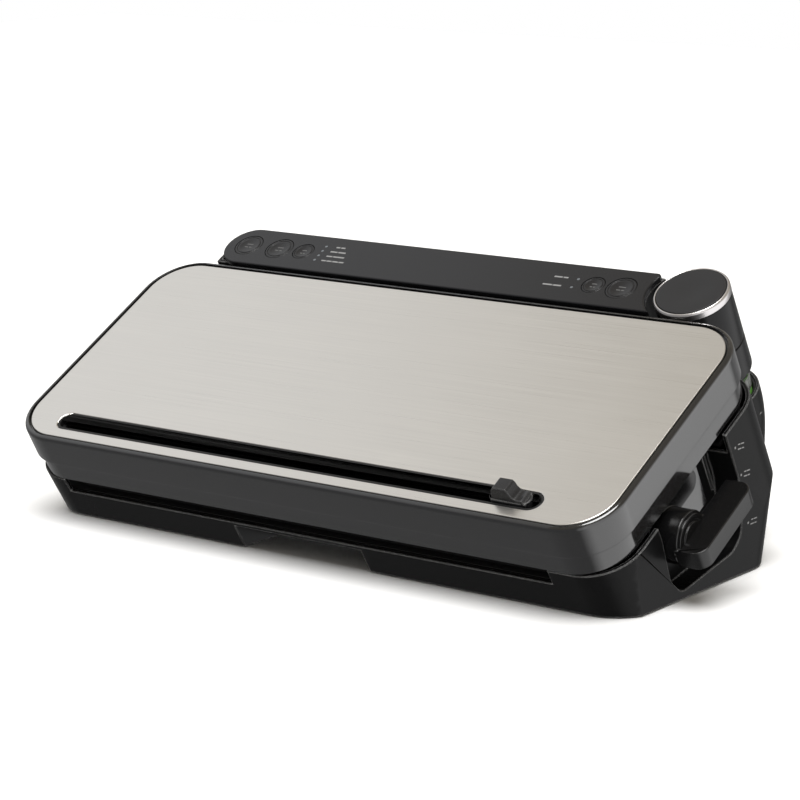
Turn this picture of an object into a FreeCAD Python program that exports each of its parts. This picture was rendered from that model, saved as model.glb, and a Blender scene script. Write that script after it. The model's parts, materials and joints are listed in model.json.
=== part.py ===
"""Countertop vacuum sealer: wedge-shaped base, sloped lid, side latch lever and docked handheld pump."""
import FreeCAD, Part
import math
import os

from FreeCAD import Placement, Rotation, Vector

os.makedirs("parts", exist_ok=True)

# ---------------------------------------------------------------- driving dimensions (mm, degrees)
# Two sets of axes are used.  "Sloped" axes lie in the lid: u runs right from the middle, v up the slope
# from the front edge of the steel plate, n square out of the lid.  "Level" axes are x right, y back, z up.
LID_SLOPE = 29.35                  # the lid's angle to the table
PLATE_FRONT_Z = 52.0               # height of the steel plate's front edge
SHIFT_X = -10.25                   # both shifts put the origin under the middle of the whole box
SHIFT_Y = -107.39

PLATE_HALF_W = 190.0               # steel plate
PLATE_LEN = 154.74
PLATE_R = 24.5
PLATE_T = 1.0
PLATE_GAP = 1.3                    # dark line between plate and frame

LID_HALF_W = 194.0                 # lid frame, upper skirt
LID_FRONT = -4.0
LID_BACK = 158.3
LID_R = 28.5
LID_TOP = 0.4
LID_WALL = 2.6
SKIRT_STEP_N = -18.3               # upper skirt ends here, lower skirt is set in
SKIRT_INSET = 2.0
LID_BOTTOM = -30.6
LID_CEILING = -4.0
RIM_ROUND = 2.4

SLOT_LEFT = -166.0                 # bag cutter slot
SLOT_RIGHT = 153.0
SLOT_V0 = 6.2
SLOT_V1 = 19.5
CUTTER_U = 135.0                   # parked place of the bag cutter
CUTTER_TRAVEL = 285.0

HINGE_V = 154.2                    # lid hinge axis, along u
HINGE_N = -5.6
HINGE_PIN_R = 1.3
HINGE_EAR_R = 2.6
HINGE_U = 148.0

CHANNEL_U = -6.5                   # middle of everything that is as wide as a bag
RIM_HALF_W = 195.0                 # base tub at its rim
RIM_N = -31.4
RIM_FRONT = -1.5
RIM_BACK = 157.5
TUB_R = 26.0
TUB_WALL = 2.5
TUB_FOOT_HALF_W = 190.8            # base tub at the table
TUB_SIDE_DRAFT = 0.115             # side wall leans out this much per mm of height
TUB_FRONT_DRAFT = 0.065
TUB_BACK_Y = 178.0
WALL_FOOT_Z = 1.0                  # walls stop this far above the table, the feet reach it
LOW_RIM_N = -40.5                  # lowered front edge where the bag goes in
LOW_RIM_U0 = -166.5
LOW_RIM_U1 = 154.0
DECK_T = 2.5

RECESS_U0 = -49.0                  # finger recess under the front edge
RECESS_U1 = 35.0
RECESS_BACK_Y = 57.0

LEVER_V = 54.0                     # latch shaft axis, along u
LEVER_N = -49.0
SHAFT_R = 4.0
HUB_R = 14.0
LEVER_OUT_U = 215.5
POCKET_U = 178.0                   # inner face of the side pocket
POCKET_V0 = 39.5
POCKET_V1 = 111.0
POCKET_CORNER_R = 10.0

TROUGH_V = 104.0                   # half-round bay for the bag roll
TROUGH_N = -38.0
TROUGH_R = 34.0
TROUGH_HALF_L = 150.0

PANEL_TOP = 0.3                    # control strip behind the lid
PANEL_FRONT = 160.9
PANEL_BACK = 192.6
PANEL_T = 3.0
PANEL_END_U = -148.9               # middle of its round left end
HOUSING_FRONT = 163.0
HOUSING_BACK_Y = 208.0
HOUSING_RIGHT_U = 133.0

HAND_U = 146.0                     # handheld sealer, its axis is square to the lid
HAND_V = 181.0
HAND_R = 20.4
HAND_RING_R = 20.6
HAND_NEST_R = 25.2                 # hollow end of the control strip around it
DOCK_R = 20.8
DOCK_Y = 196.8                     # the dock turns upright here
DOCK_Z = 71.3
DOCK_BEND_R = 36.0
DOCK_FLOOR_N = -78.6               # underside of the cup the handheld stands in
HAND_SPLIT_N = -33.0               # seam between the two grip halves
HAND_END_N = -57.5                 # the grip ends and the reservoir starts

BUTTONS = {
    "button_vacuum_seal": (-149.2, 8.6),
    "button_seal_only": (-126.5, 8.6),
    "button_moist_dry": (-108.8, 6.5),
    "button_pulse": (88.1, 6.5),
    "button_marinate": (105.5, 8.6),
}
BUTTON_V = 177.0
LAMPS = [(-96.5, 183.6), (-96.5, 179.4), (-96.5, 175.2), (-96.5, 171.0), (76.8, 180.4), (76.5, 173.2)]

LINER_SCREWS = [(-150, 48), (-60, 48), (45, 48), (137, 48), (-158.5, 30), (145.5, 30)]
CATCHES = [(158.0, 1), (-168.0, -1)]   # u and outward direction of each lid strap

PUMP_Y = 160.5                     # vacuum pump's motor axis, level axes
PUMP_Z = 21.5
INLET_X = -90.0                    # power socket in the rear wall
FLOOR_Z0 = 1.6                     # floor plate
FLOOR_Z1 = 3.3
CASE_SCREWS = [(-130, 60), (120, 60), (-130, 168), (130, 168), (-70, 196), (70, 196)]
FEET = [(-160, 50), (160, 48), (-148, 192), (112, 192), (-20, 192), (-90, 50)]

SIN = math.sin(math.radians(LID_SLOPE))
COS = math.cos(math.radians(LID_SLOPE))
SLOPED = Placement(Vector(SHIFT_X, SHIFT_Y, PLATE_FRONT_Z), Rotation(Vector(1, 0, 0), LID_SLOPE))
LEVEL = Placement(Vector(SHIFT_X, SHIFT_Y, 0), Rotation())


# ---------------------------------------------------------------- shape helpers
def level_y(v, n):
    """Level y of a point given in sloped axes."""
    return v * COS - n * SIN


def level_z(v, n):
    """Level z of a point given in sloped axes."""
    return PLATE_FRONT_Z + v * SIN + n * COS


def rounded_wire(x0, x1, y0, y1, radius, z):
    """Closed outline of a rectangle with round corners, at height z."""
    k = radius * (1 - math.sqrt(0.5))
    corners = [
        ((x1 - radius, y0), (x1 - k, y0 + k), (x1, y0 + radius)),
        ((x1, y1 - radius), (x1 - k, y1 - k), (x1 - radius, y1)),
        ((x0 + radius, y1), (x0 + k, y1 - k), (x0, y1 - radius)),
        ((x0, y0 + radius), (x0 + k, y0 + k), (x0 + radius, y0)),
    ]
    edges = []
    last = Vector(x0 + radius, y0, z)
    for corner in corners:
        start, middle, end = [Vector(x, y, z) for x, y in corner]
        edges.append(Part.LineSegment(last, start).toShape())
        edges.append(Part.Arc(start, middle, end).toShape())
        last = end
    return Part.Wire(edges)


def slab(x0, x1, y0, y1, z0, z1, radius):
    """Flat plate with round corners."""
    return Part.Face(rounded_wire(x0, x1, y0, y1, radius, z0)).extrude(Vector(0, 0, z1 - z0))


def box(x0, x1, y0, y1, z0, z1):
    """Rectangular block between two corners."""
    return Part.makeBox(x1 - x0, y1 - y0, z1 - z0, Vector(x0, y0, z0))


def rod(radius, start, end):
    """Round bar between two points."""
    axis = end - start
    return Part.makeCylinder(radius, axis.Length, start, axis)


def rod_u(radius, u0, u1, v, n):
    """Round bar along the first axis."""
    return rod(radius, Vector(u0, v, n), Vector(u1, v, n))


def rod_n(radius, u, v, n0, n1):
    """Round bar along the third axis."""
    return rod(radius, Vector(u, v, n0), Vector(u, v, n1))


def side_prism(points, x0, x1):
    """Outline given as (y, z) points, carried from x0 to x1."""
    corners = [Vector(x0, y, z) for y, z in points]
    return Part.Face(Part.makePolygon(corners + corners[:1])).extrude(Vector(x1 - x0, 0, 0))


def join(shapes):
    """One solid from several that touch."""
    first, rest = shapes[0], shapes[1:]
    return first.fuse(rest).removeSplitter() if rest else first


def sloped(shape):
    """Carry a shape from sloped axes into the part's frame."""
    moved = shape.copy()
    moved.Placement = SLOPED.multiply(moved.Placement)
    return moved


def level(shape):
    """Carry a shape from level axes into the part's frame."""
    moved = shape.copy()
    moved.Placement = LEVEL.multiply(moved.Placement)
    return moved


def sloped_to_level(shape):
    """Carry a shape from sloped axes into level axes."""
    moved = shape.copy()
    tilt = Placement(Vector(0, 0, PLATE_FRONT_Z), Rotation(Vector(1, 0, 0), LID_SLOPE))
    moved.Placement = tilt.multiply(moved.Placement)
    return moved


def save(name, shape):
    """Write one node."""
    solids = shape.Solids
    print(f"{name}: solids {len(solids)}, volume {shape.Volume / 1000:.2f} cm3, valid {shape.isValid()}")
    Part.makeCompound(solids).exportStep(f"parts/{name}.step")


# ---------------------------------------------------------------- lid
def slot_outline(grow, n0, n1):
    """Bag cutter slot with round ends, grown outwards by grow."""
    half = (SLOT_V1 - SLOT_V0) / 2 + grow
    return slab(SLOT_LEFT - grow, SLOT_RIGHT + grow, SLOT_V0 - grow, SLOT_V1 + grow, n0, n1, half - 0.01)


def make_lid_frame():
    """Moulded lid: two-step skirt, seat for the plate, cutter slot, screw posts and hinge notches."""
    upper = slab(-LID_HALF_W, LID_HALF_W, LID_FRONT, LID_BACK, SKIRT_STEP_N, LID_TOP, LID_R)
    top_edges = [e for e in upper.Edges if abs(e.BoundBox.ZMin - LID_TOP) < 1e-4
                 and abs(e.BoundBox.ZMax - LID_TOP) < 1e-4]
    upper = upper.makeFillet(RIM_ROUND, top_edges)
    inset = SKIRT_INSET
    lower = slab(-LID_HALF_W + inset, LID_HALF_W - inset, LID_FRONT + inset, LID_BACK - inset,
                 LID_BOTTOM, SKIRT_STEP_N + 1, LID_R - inset)
    solid = upper.fuse(lower)
    wall = inset + LID_WALL
    hollow = slab(-LID_HALF_W + wall, LID_HALF_W - wall, LID_FRONT + wall, LID_BACK - wall,
                  LID_BOTTOM - 1, LID_CEILING, LID_R - wall)
    seat = slab(-PLATE_HALF_W - PLATE_GAP, PLATE_HALF_W + PLATE_GAP, -PLATE_GAP, PLATE_LEN + PLATE_GAP,
                -PLATE_T, LID_TOP + 1, PLATE_R + PLATE_GAP)
    gap_ring = slab(-PLATE_HALF_W - PLATE_GAP, PLATE_HALF_W + PLATE_GAP, -PLATE_GAP, PLATE_LEN + PLATE_GAP,
                    -PLATE_T - 1.2, LID_TOP + 1, PLATE_R + PLATE_GAP)
    gap_core = slab(-PLATE_HALF_W, PLATE_HALF_W, 0, PLATE_LEN, -PLATE_T - 2, LID_TOP + 2, PLATE_R)
    solid = solid.cut(hollow).cut(seat).cut(gap_ring.cut(gap_core))
    solid = solid.cut(slot_outline(0.0, LID_CEILING - 1, LID_TOP + 1))
    posts = [rod_n(3.5, u, v, -18.0, LID_CEILING + 0.5) for u, v in LINER_SCREWS]
    solid = join([solid] + posts)
    for post_u, post_v in LINER_SCREWS:
        solid = solid.cut(rod_n(1.5, post_u, post_v, -19, -8))
    for side in (-1, 1):
        centre = side * HINGE_U
        solid = solid.cut(box(centre - 5, centre + 5, 147, LID_BACK + 1, LID_BOTTOM - 1, -2.7))
        solid = solid.fuse(hinge_boss(side))
        solid = solid.cut(rod_u(HINGE_PIN_R, centre - 7.5, centre + 7.5, HINGE_V, HINGE_N))
    return solid.removeSplitter()


def hinge_boss(side):
    """Two cheeks beside each notch that hold the ends of a hinge pin."""
    cheeks = []
    for offset in (-7.4, 5.2):
        u0 = side * HINGE_U + offset
        cheek = box(u0, u0 + 2.2, 148.5, LID_BACK - 1.5, -10, -3.5)
        cheeks.append(cheek.cut(rod_u(HINGE_PIN_R, u0 - 1, u0 + 4, HINGE_V, HINGE_N)))
    return Part.makeCompound(cheeks)


def make_lid_plate():
    """Brushed steel plate with the cutter slot through it."""
    plate = slab(-PLATE_HALF_W, PLATE_HALF_W, 0, PLATE_LEN, -PLATE_T, 0, PLATE_R)
    return plate.cut(slot_outline(0.0, -5, 5))


def make_cutter_track():
    """Black channel in the slot: bevelled lips, a floor and a long through-slot for the carriage."""
    mid = (SLOT_V0 + SLOT_V1) / 2
    body = slot_outline(-0.1, -9.5, -0.25)
    flange = slab(SLOT_LEFT - 3, SLOT_RIGHT + 3, SLOT_V0 - 3, SLOT_V1 + 3, -6.5, -4.05, 6)
    groove = slot_outline(-1.6, -3.6, 1)
    through = slab(SLOT_LEFT + 3.5, SLOT_RIGHT - 5, mid - 2.3, mid + 2.3, -12, 2, 2.2)
    return join([body, flange]).cut(groove).cut(through)


def make_lid_liner():
    """Inner moulding of the lid with the carriers for the gasket and the pressure strip."""
    plate = slab(-164, 151, 3.5, 56, -20, -18, 4)
    ring_out = slab(-157.5, 144.5, 17.5, 52.5, -28, -19.9, 5)
    ring_in = slab(-151, 138, 23, 47, -29, -19, 3)
    bar = slab(-160, 147, 6, 15, -28, -19.9, 1.5)
    liner = join([plate, ring_out.cut(ring_in), bar])
    for u, v in LINER_SCREWS:
        liner = liner.cut(rod_n(1.7, u, v, -30, -17))
        liner = liner.cut(rod_n(3.2, u, v, -30, -19.2))
    return liner


def make_catches():
    """Two steel straps that hang from the lid; the latch hooks swing over the cross pin at their foot."""
    straps = []
    for u0, direction in CATCHES:
        ends = sorted((u0, u0 + direction * 2.0))
        strap = box(ends[0], ends[1], 42, 49, -69.5, LID_CEILING - 0.1)
        foot = sorted((u0 + direction * 1.0, u0 + direction * 9.0))
        pin = rod_u(2.0, foot[0], foot[1], LEVER_V - 6, LEVER_N - 17.5)
        tab = sorted((u0, u0 + direction * 12.0))
        plate = box(tab[0], tab[1], 42, 49, LID_CEILING - 2.0, LID_CEILING - 0.1)
        straps.append(join([strap, pin, plate]))
    return Part.makeCompound(straps)


def make_latch_plate():
    """Glossy side tongue under the lid's right edge, seen through the lever pocket."""
    u0 = POCKET_U + 3.4
    tongue = box(u0, u0 + 2.0, 70, 96, -64.5, LID_BOTTOM)
    corner = [e for e in tongue.Edges if abs(e.BoundBox.ZMax + 64.5) < 1e-3 and e.BoundBox.XLength > 1]
    tongue = tongue.makeFillet(1.0, corner)
    lug = box(u0, LID_HALF_W - SKIRT_INSET - LID_WALL, 86.4, 96, LID_BOTTOM, LID_BOTTOM + 3)
    return join([tongue, lug])


def make_cutter():
    """Sliding cutter: finger knob above the track, carriage through it and a small blade below."""
    mid = (SLOT_V0 + SLOT_V1) / 2
    u = CUTTER_U
    pad = slab(u - 12, u + 12, mid - 4.6, mid + 4.6, -3.3, 0.9, 4.5)
    saddle = [(-9.0, 0.5), (-7.8, 6.6), (-6.2, 8.4), (1.2, 8.4), (2.2, 7.0), (3.0, 4.6), (4.6, 2.8),
              (6.8, 2.2), (9.0, 2.8), (10.0, 0.5)]
    profile = [Vector(u + du, mid - 4.2, n) for du, n in saddle]
    grip = Part.Face(Part.makePolygon(profile + profile[:1])).extrude(Vector(0, 8.4, 0))
    knob = join([pad, grip])
    neck = box(u - 9, u + 9, mid - 2.2, mid + 2.2, -10.2, -3.3)
    foot = box(u - 9, u + 9, mid - 4.2, mid + 4.2, -12.2, -10.2)
    blade = box(u - 5, u + 5, mid - 0.4, mid + 0.4, -16.4, -12.2)
    return knob, join([neck, foot]), blade


# ---------------------------------------------------------------- base tub
def tub_solid(inset):
    """Outer form of the tub, set in by a wall thickness.

    The lid's outline is carried down square to the lid and trimmed by upright walls that lean in
    towards the table.
    """
    depth = 130.0
    top = rounded_wire(-RIM_HALF_W + inset, RIM_HALF_W - inset, RIM_FRONT + inset, RIM_BACK - inset,
                       TUB_R - inset, RIM_N)
    front_low = RIM_FRONT + TUB_FRONT_DRAFT * depth + inset
    bottom = rounded_wire(-RIM_HALF_W + inset, RIM_HALF_W - inset, front_low, RIM_BACK - inset,
                          TUB_R - inset, RIM_N - depth)
    along_normal = sloped_to_level(Part.makeLoft([bottom, top], True, True))
    high = 120.0
    half = TUB_FOOT_HALF_W - inset
    foot = rounded_wire(-half, half, -80, TUB_BACK_Y - inset, TUB_R - inset, 0)
    grown = half + TUB_SIDE_DRAFT * high
    crown = rounded_wire(-grown, grown, -80, TUB_BACK_Y - inset, TUB_R - inset, high)
    upright = Part.makeLoft([foot, crown], True, True)
    return along_normal.common(upright)


def pocket_prism(u0, u1, inset):
    """Outline of the lever pocket in the right wall, carried from u0 to u1, in level axes."""
    outline = [(POCKET_V0, 0), (POCKET_V0, -67), (46, -80), (70, -87), (93, -94), (102, -90),
               (POCKET_V1, -60), (POCKET_V1, 0)]
    mid_v = 75.0
    mid_n = -45.0
    shrunk = []
    for v, n in outline:
        v_in = v + inset * (1 if v < mid_v else -1)
        n_in = n + inset * (1 if n < mid_n else 0)
        shrunk.append((v_in, n_in))
    prism = side_prism(shrunk, u0, u1)
    low_corners = [e for e in prism.Edges if e.BoundBox.XLength > 1 and e.BoundBox.ZMax < -20]
    return sloped_to_level(prism.makeFillet(POCKET_CORNER_R, low_corners))


def recess_prism(grow):
    """Finger recess under the front edge, in level axes, with a low step under the tray well."""
    high = LOW_RIM_N - DECK_T - 0.4 + grow
    low = -54.6 + grow
    back = RECESS_BACK_Y + grow
    step_v = 22.0 - grow
    points = [
        (-30, -20),
        (back, -20),
        (back, PLATE_FRONT_Z + (low + back * SIN) / COS),
        (level_y(step_v, low), level_z(step_v, low)),
        (level_y(step_v, high), level_z(step_v, high)),
        (level_y(-20, high), level_z(-20, high)),
    ]
    return side_prism(points, RECESS_U0 - grow, RECESS_U1 + grow)


def make_tub():
    """Base tub: outer walls, lever pocket, finger recess and the lowered front edge."""
    outer = tub_solid(0)
    inner = tub_solid(TUB_WALL)
    shell = outer.cut(inner)
    pocket_out = pocket_prism(POCKET_U, 220, -2.2).common(inner)
    pocket_wall = pocket_out.cut(pocket_prism(POCKET_U + 2.2, 230, 0))
    recess_wall = recess_prism(2.2).common(outer).cut(recess_prism(0))
    deck_top = sloped_to_level(box(-220, 220, -60, 200, LOW_RIM_N - DECK_T - 0.1, 20)).common(inner)
    shell = shell.fuse([pocket_wall.cut(deck_top), recess_wall.cut(deck_top)])
    shell = shell.cut(pocket_prism(POCKET_U + 2.2, 230, 0))
    shell = shell.cut(recess_prism(0))
    shell = shell.fuse(sloped_to_level(box(POCKET_U + 1.5, POCKET_U + 3.6, 106.2, 107.6, -66, -42)))
    low_rim = sloped_to_level(box(LOW_RIM_U0, LOW_RIM_U1, -30, 12, LOW_RIM_N, 20))
    shell = shell.cut(low_rim)
    shell = shell.cut(box(-230, 230, -100, 300, -40, WALL_FOOT_Z))
    shell = shell.cut(box(-165, 165, 150, 190, -10, 3.6))
    shell = shell.cut(sloped_to_level(rod_u(6.0, POCKET_U - 5, POCKET_U + 5, LEVER_V, LEVER_N)))
    return shell


def tray_well(grow, n0, n1):
    """Space that the drip tray hangs in."""
    return slab(-147.4 - grow, 134.4 + grow, 26.1 - grow, 44.1 + grow, n0, n1, 4 + grow)


def make_deck():
    """Deck under the lid with the tray well, the half-round roll bay and the strap passages."""
    half = RIM_HALF_W - TUB_WALL - 5.2
    plate = slab(-half, half, RIM_FRONT + TUB_WALL + 1.2, RIM_BACK - TUB_WALL - 0.4,
                 LOW_RIM_N - DECK_T, LOW_RIM_N, TUB_R - TUB_WALL - 0.6)
    bay_u0 = CHANNEL_U - TROUGH_HALF_L
    bay_u1 = CHANNEL_U + TROUGH_HALF_L
    trough_out = rod_u(TROUGH_R + 2, bay_u0 - 2, bay_u1 + 2, TROUGH_V, TROUGH_N)
    trough_out = trough_out.common(box(-220, 220, 0, 200, -120, LOW_RIM_N - 0.5))
    trough_in = rod_u(TROUGH_R, bay_u0, bay_u1, TROUGH_V, TROUGH_N)
    well = tray_well(1.6, -51.6, LOW_RIM_N - 0.5)
    deck = join([plate, trough_out, well])
    deck = deck.cut(trough_in).cut(tray_well(0, -50, 0))
    deck = deck.cut(slab(-149.4, 136.4, 24.3, 45.9, -42.0, 0, 5))
    deck = deck.cut(box(POCKET_U - 3.2, 220, POCKET_V0 - 3.2, POCKET_V1 + 3.2, -60, 0))
    for u0, direction in CATCHES:
        ends = sorted((u0 - direction * 1.5, u0 + direction * 11.0))
        deck = deck.cut(box(ends[0], ends[1], 26, 53, -60, 0))
    return deck


def make_hinge_brackets():
    """Steel ears on the deck that carry the lid's hinge pins."""
    ears = []
    for side in (-1, 1):
        u0 = side * HINGE_U - 4
        outline = [(144, LOW_RIM_N), (154.4, LOW_RIM_N), (154.4, -7.5), (151.6, -5.6), (151.0, -30),
                   (144, -37.5)]
        arm = side_prism(outline, u0, u0 + 8)
        eye = rod_u(HINGE_EAR_R, u0, u0 + 8, HINGE_V, HINGE_N)
        ears.append(join([arm, eye]).cut(rod_u(HINGE_PIN_R + 0.05, u0 - 1, u0 + 9, HINGE_V, HINGE_N)))
    return Part.makeCompound(ears)


def make_drip_tray():
    """Shallow pan that lifts out of the vacuum channel, with a flange and a small pull tab."""
    pan = slab(-147.0, 134.0, 26.5, 43.7, -49.5, -41.0, 4)
    flange = slab(-149.0, 136.0, 24.7, 45.5, -41.9, -40.7, 5)
    hollow = slab(-145.4, 132.4, 28.1, 42.1, -48.1, -30, 3)
    tab = slab(CHANNEL_U - 9, CHANNEL_U + 9, 42.2, 45.4, -41.9, -39.6, 1.4)
    return join([pan, flange]).cut(hollow).fuse(tab).removeSplitter()


def ring_slab(u0, u1, v0, v1, width, n0, n1, radius):
    """Frame-shaped strip of even width."""
    outer = slab(u0, u1, v0, v1, n0, n1, radius)
    inner = slab(u0 + width, u1 - width, v0 + width, v1 - width, n0 - 1, n1 + 1, radius - width)
    return outer.cut(inner)


# ---------------------------------------------------------------- latch
def make_lever():
    """Latch lever: round hub in the pocket, an arm beside the lid tongue and a thumb bar outside the wall."""
    hub = rod_u(HUB_R, POCKET_U + 7.0, 201, LEVER_V, LEVER_N)
    paddle = box(199.5, LEVER_OUT_U, 40, 95, -56, -45.5)
    outer_edges = [e for e in paddle.Edges if e.BoundBox.ZLength > 8 and e.BoundBox.XMin > 210]
    paddle = paddle.makeFillet(7.0, outer_edges)
    arm = box(POCKET_U + 7.0, POCKET_U + 10.5, LEVER_V, 81, -44.4, -31.6)
    arm_end = rod_u(6.4, POCKET_U + 7.0, POCKET_U + 10.5, 81, -38)
    lever = join([hub, paddle, arm, arm_end])
    return lever.cut(rod_u(SHAFT_R - 0.02, POCKET_U, POCKET_U + 13.0, LEVER_V, LEVER_N))


def make_latch_shaft():
    """Steel cross shaft that turns both hooks."""
    return rod_u(SHAFT_R - 0.05, -183, POCKET_U + 12.8, LEVER_V, LEVER_N)


def make_latch_hooks():
    """Two hooks on the shaft; turned down, each swings over the pin of a lid strap."""
    hooks = []
    for u0, direction in CATCHES:
        ends = sorted((u0 + direction * 3.2, u0 + direction * 8.2))
        collar = rod_u(SHAFT_R + 1.6, ends[0], ends[1], LEVER_V, LEVER_N)
        sector = [(0.0, 0.0)]
        for step in range(9):
            angle = math.radians(256 + step * 6)
            sector.append((15.9 * math.cos(angle), 15.9 * math.sin(angle)))
        points = [(LEVER_V + v, LEVER_N + n) for v, n in sector]
        claw = side_prism(points, ends[0], ends[1])
        claw = claw.cut(rod_u(8.0, ends[0] - 1, ends[1] + 1, LEVER_V - 8.5, LEVER_N - 5.0))
        bore = rod_u(SHAFT_R - 0.03, ends[0] - 1, ends[1] + 1, LEVER_V, LEVER_N)
        hooks.append(join([collar, claw]).cut(bore))
    return Part.makeCompound(hooks)


def make_latch_bushes():
    """Plastic bushes that carry the shaft in the right pocket wall and on two deck hangers."""
    right = rod_u(5.8, POCKET_U - 1.5, POCKET_U + 2.4, LEVER_V, LEVER_N)
    bushes = [right]
    for u in (100.0, -182.0):
        hanger = box(u, u + 4, LEVER_V - 6, LEVER_V + 6, LEVER_N - 6, LOW_RIM_N - DECK_T)
        bushes.append(hanger)
    holes = rod_u(SHAFT_R + 0.03, -190, 190, LEVER_V, LEVER_N)
    return Part.makeCompound([b.cut(holes) for b in bushes])


# ---------------------------------------------------------------- rear housing, panel and dock
def housing_solid(inset, top_n):
    """Rear housing: the control strip's outline carried down, with an upright back and the dock."""
    half = (PANEL_BACK - PANEL_FRONT) / 2
    left = PANEL_END_U - half + inset
    back = PANEL_BACK - inset
    strip = slab(left, HAND_U, HOUSING_FRONT - 40, back, -170, top_n, half - inset)
    strip = strip.cut(box(-220, 220, 0, HOUSING_FRONT + inset, RIM_N - 2, 10))
    strip = strip.cut(box(-220, 220, 0, RIM_BACK + 0.6 + inset, -200, 10))
    nest = rod_n(HAND_NEST_R + inset, HAND_U, HAND_V, -63.0 - inset, 10)
    strip = strip.cut(nest)
    strip = strip.cut(box(HOUSING_RIGHT_U - inset, 220, 0, 240, -63.0 - inset, 10))
    strip = sloped_to_level(strip).common(slab(left, 400, 0, HOUSING_BACK_Y - inset, 0, 200, 15 - inset))
    lower = slab(left, HAND_U, TUB_BACK_Y - 40, HOUSING_BACK_Y - inset, 0, 58, 15 - inset)
    merged = strip.fuse([lower, dock_solid(DOCK_R - inset, -66.0 - inset)])
    return merged.cut(tub_solid(-0.4 - inset))


def dock_solid(radius, top_n):
    """Round dock under the handheld: square to the lid at the top, then bent to stand upright."""
    reach = DOCK_BEND_R * math.tan(math.radians(LID_SLOPE) / 2)
    bend_top = Vector(HAND_U, DOCK_Y - reach * SIN, DOCK_Z + reach * COS)
    bend_foot = Vector(HAND_U, DOCK_Y, DOCK_Z - reach)
    along = Vector(0, -SIN, COS)
    mouth = Vector(HAND_U, level_y(HAND_V, top_n), level_z(HAND_V, top_n))
    upper = rod(radius, bend_top, mouth)
    disc = Part.Face(Part.Wire(Part.makeCircle(radius, bend_top, along)))
    centre = bend_foot + Vector(0, -DOCK_BEND_R, 0)
    elbow = disc.revolve(centre, Vector(1, 0, 0), -LID_SLOPE)
    lower = rod(radius, Vector(HAND_U, DOCK_Y, 0), bend_foot)
    return upper.fuse([elbow, lower])


def make_rear_housing():
    """Rear housing shell, open at the top under the control strip and at the bottom."""
    top_n = PANEL_TOP - PANEL_T
    outer = housing_solid(0, top_n)
    inner = housing_solid(TUB_WALL, top_n + 5)
    shell = outer.cut(inner)
    shell = shell.cut(box(-230, 230, -100, 300, -40, WALL_FOOT_Z))
    shell = shell.cut(box(-162, 143, 170, 182.5, -10, 3.6))
    shell = shell.cut(sloped_to_level(hand_rod(18.9, DOCK_FLOOR_N - 0.3, 10)))
    window = box(INLET_X - 10.2, INLET_X + 10.2, HOUSING_BACK_Y - 6, HOUSING_BACK_Y + 4, 17.8, 34.2)
    return shell.cut(window)


def panel_outline(n):
    """Outline of the control strip: round left end, hollow right end around the handheld."""
    half = (PANEL_BACK - PANEL_FRONT) / 2
    mid = PANEL_FRONT + half
    front_u = HAND_U - math.sqrt(HAND_NEST_R ** 2 - (HAND_V - PANEL_FRONT) ** 2)
    back_u = HAND_U - math.sqrt(HAND_NEST_R ** 2 - (PANEL_BACK - HAND_V) ** 2)
    front_left = Vector(PANEL_END_U, PANEL_FRONT, n)
    back_left = Vector(PANEL_END_U, PANEL_BACK, n)
    front_right = Vector(front_u, PANEL_FRONT, n)
    back_right = Vector(back_u, PANEL_BACK, n)
    return Part.Wire([
        Part.LineSegment(front_left, front_right).toShape(),
        Part.Arc(front_right, Vector(HAND_U - HAND_NEST_R, HAND_V, n), back_right).toShape(),
        Part.LineSegment(back_right, back_left).toShape(),
        Part.Arc(back_left, Vector(PANEL_END_U - half, mid, n), front_left).toShape(),
    ])


def make_panel():
    """Glossy control strip with round button holes and lamp windows."""
    low = PANEL_TOP - PANEL_T + 0.05
    panel = Part.Face(panel_outline(low)).extrude(Vector(0, 0, PANEL_TOP - low))
    corner = [e for e in panel.Edges if e.BoundBox.ZLength > 1 and e.BoundBox.YMin > PANEL_BACK - 0.1
              and e.BoundBox.XMin > 0]
    panel = panel.makeFillet(2.5, corner)
    top_edges = [e for e in panel.Edges if abs(e.BoundBox.ZMin - PANEL_TOP) < 1e-4]
    panel = panel.makeFillet(0.8, top_edges)
    for u, radius in BUTTONS.values():
        panel = panel.cut(rod_n(radius + 0.35, u, BUTTON_V, -10, 10))
    for u, v in LAMPS:
        panel = panel.cut(rod_n(0.95, u, v, -10, 10))
    return panel


def make_button(u, radius):
    """Round button cap with a stem that stands on the board's switch."""
    cap = rod_n(radius, u, BUTTON_V, -2.2, PANEL_TOP - 0.1)
    cap = cap.makeFillet(0.4, [e for e in cap.Edges if abs(e.BoundBox.ZMin - PANEL_TOP + 0.1) < 1e-4])
    stem = rod_n(2.0, u, BUTTON_V, -5.2, -2.1)
    return join([cap, stem])


def make_board():
    """Control board with its button switches and a few parts."""
    board = slab(-157, 112, 167, 187.5, -9.6, -8.0, 9)
    switches = [box(u - 3, u + 3, BUTTON_V - 3, BUTTON_V + 3, -8.1, -6.4) for u, radius in BUTTONS.values()]
    chips = [box(u, u + 12, 170, 180, -8.1, -6.6) for u in (-70, -30, 20)]
    return join([board] + switches + chips)


# ---------------------------------------------------------------- handheld sealer
def hand_rod(radius, n0, n1):
    """Round bar on the handheld's axis."""
    return rod_n(radius, HAND_U, HAND_V, n0, n1)


def make_hand_upper():
    """Upper grip of the handheld, a tube closed above the seam."""
    body = hand_rod(HAND_R, HAND_SPLIT_N + 0.15, -4.3)
    return body.cut(hand_rod(HAND_R - 2.2, HAND_SPLIT_N - 1, -6.0)).cut(hand_rod(16.5, -7, 0))


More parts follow.
